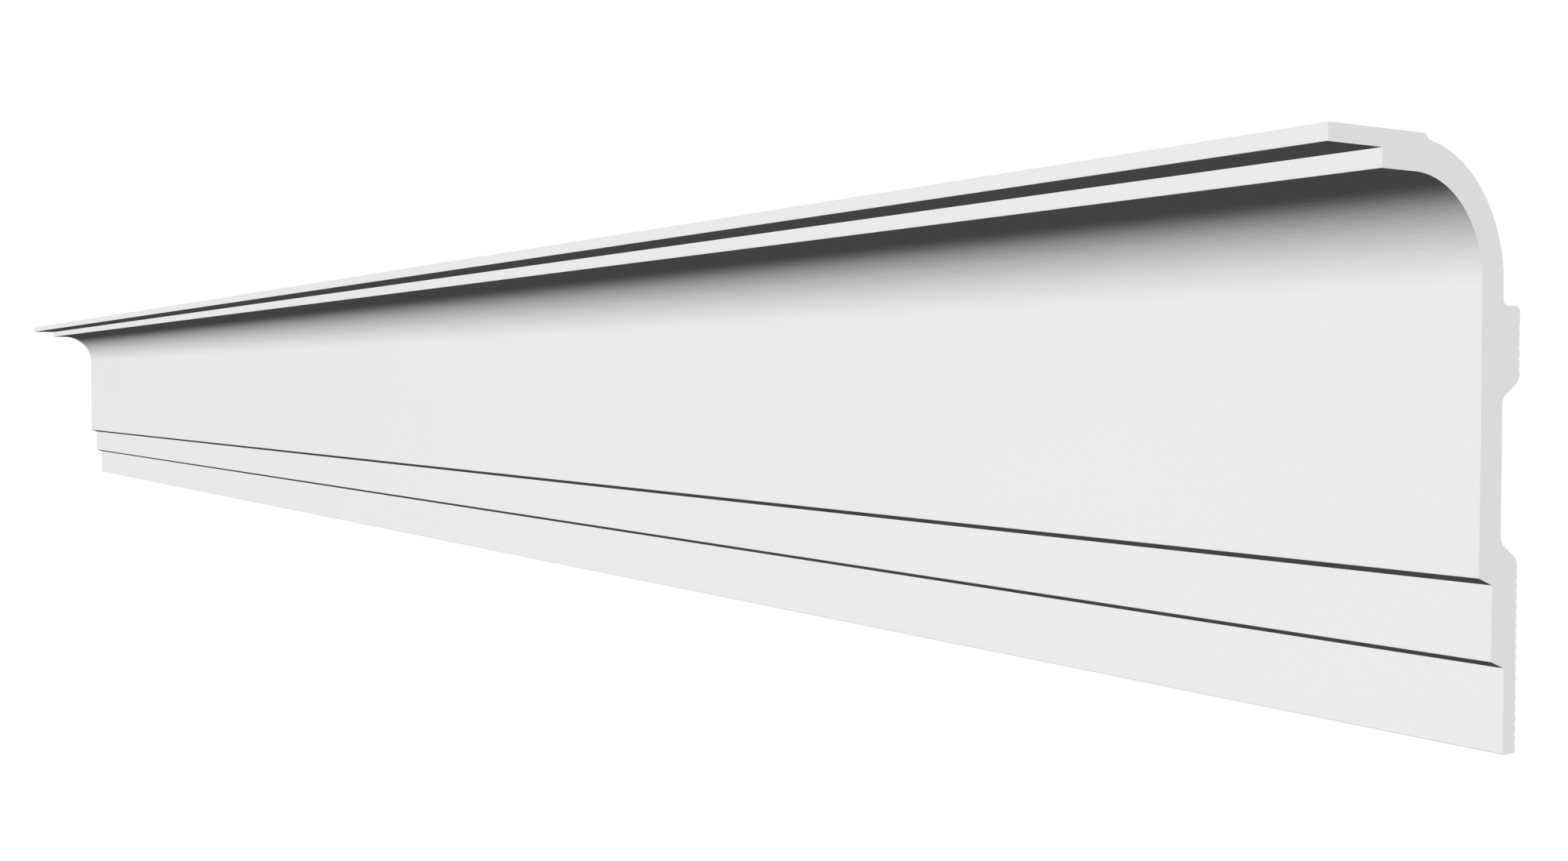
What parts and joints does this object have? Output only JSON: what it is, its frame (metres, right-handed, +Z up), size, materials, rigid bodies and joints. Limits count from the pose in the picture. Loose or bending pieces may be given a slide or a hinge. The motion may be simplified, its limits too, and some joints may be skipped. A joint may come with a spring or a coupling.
{
  "type": "crown moulding length",
  "caption": "Straight length of cove cornice for a wall and ceiling corner, with a lip and fillet over the cove, stepped fascias below it and keyed adhesive pads behind.",
  "frame": {"origin": "the seat on the wall: the middle of a plain land between two key grooves of the lower back pad, 28.1 mm above the bottom edge and halfway along the length", "axes": "+X along the length, +Y into the wall, +Z up to the ceiling; the room is on the -Y side"},
  "size_m": [2, 0.0826, 0.178],
  "materials": {
    "white_primer": "matt white primer on a fine-celled foamed polymer"
  },
  "bodies": {
    "root": {"crown_moulding_length": "white_primer"}
  },
  "joints": []
}
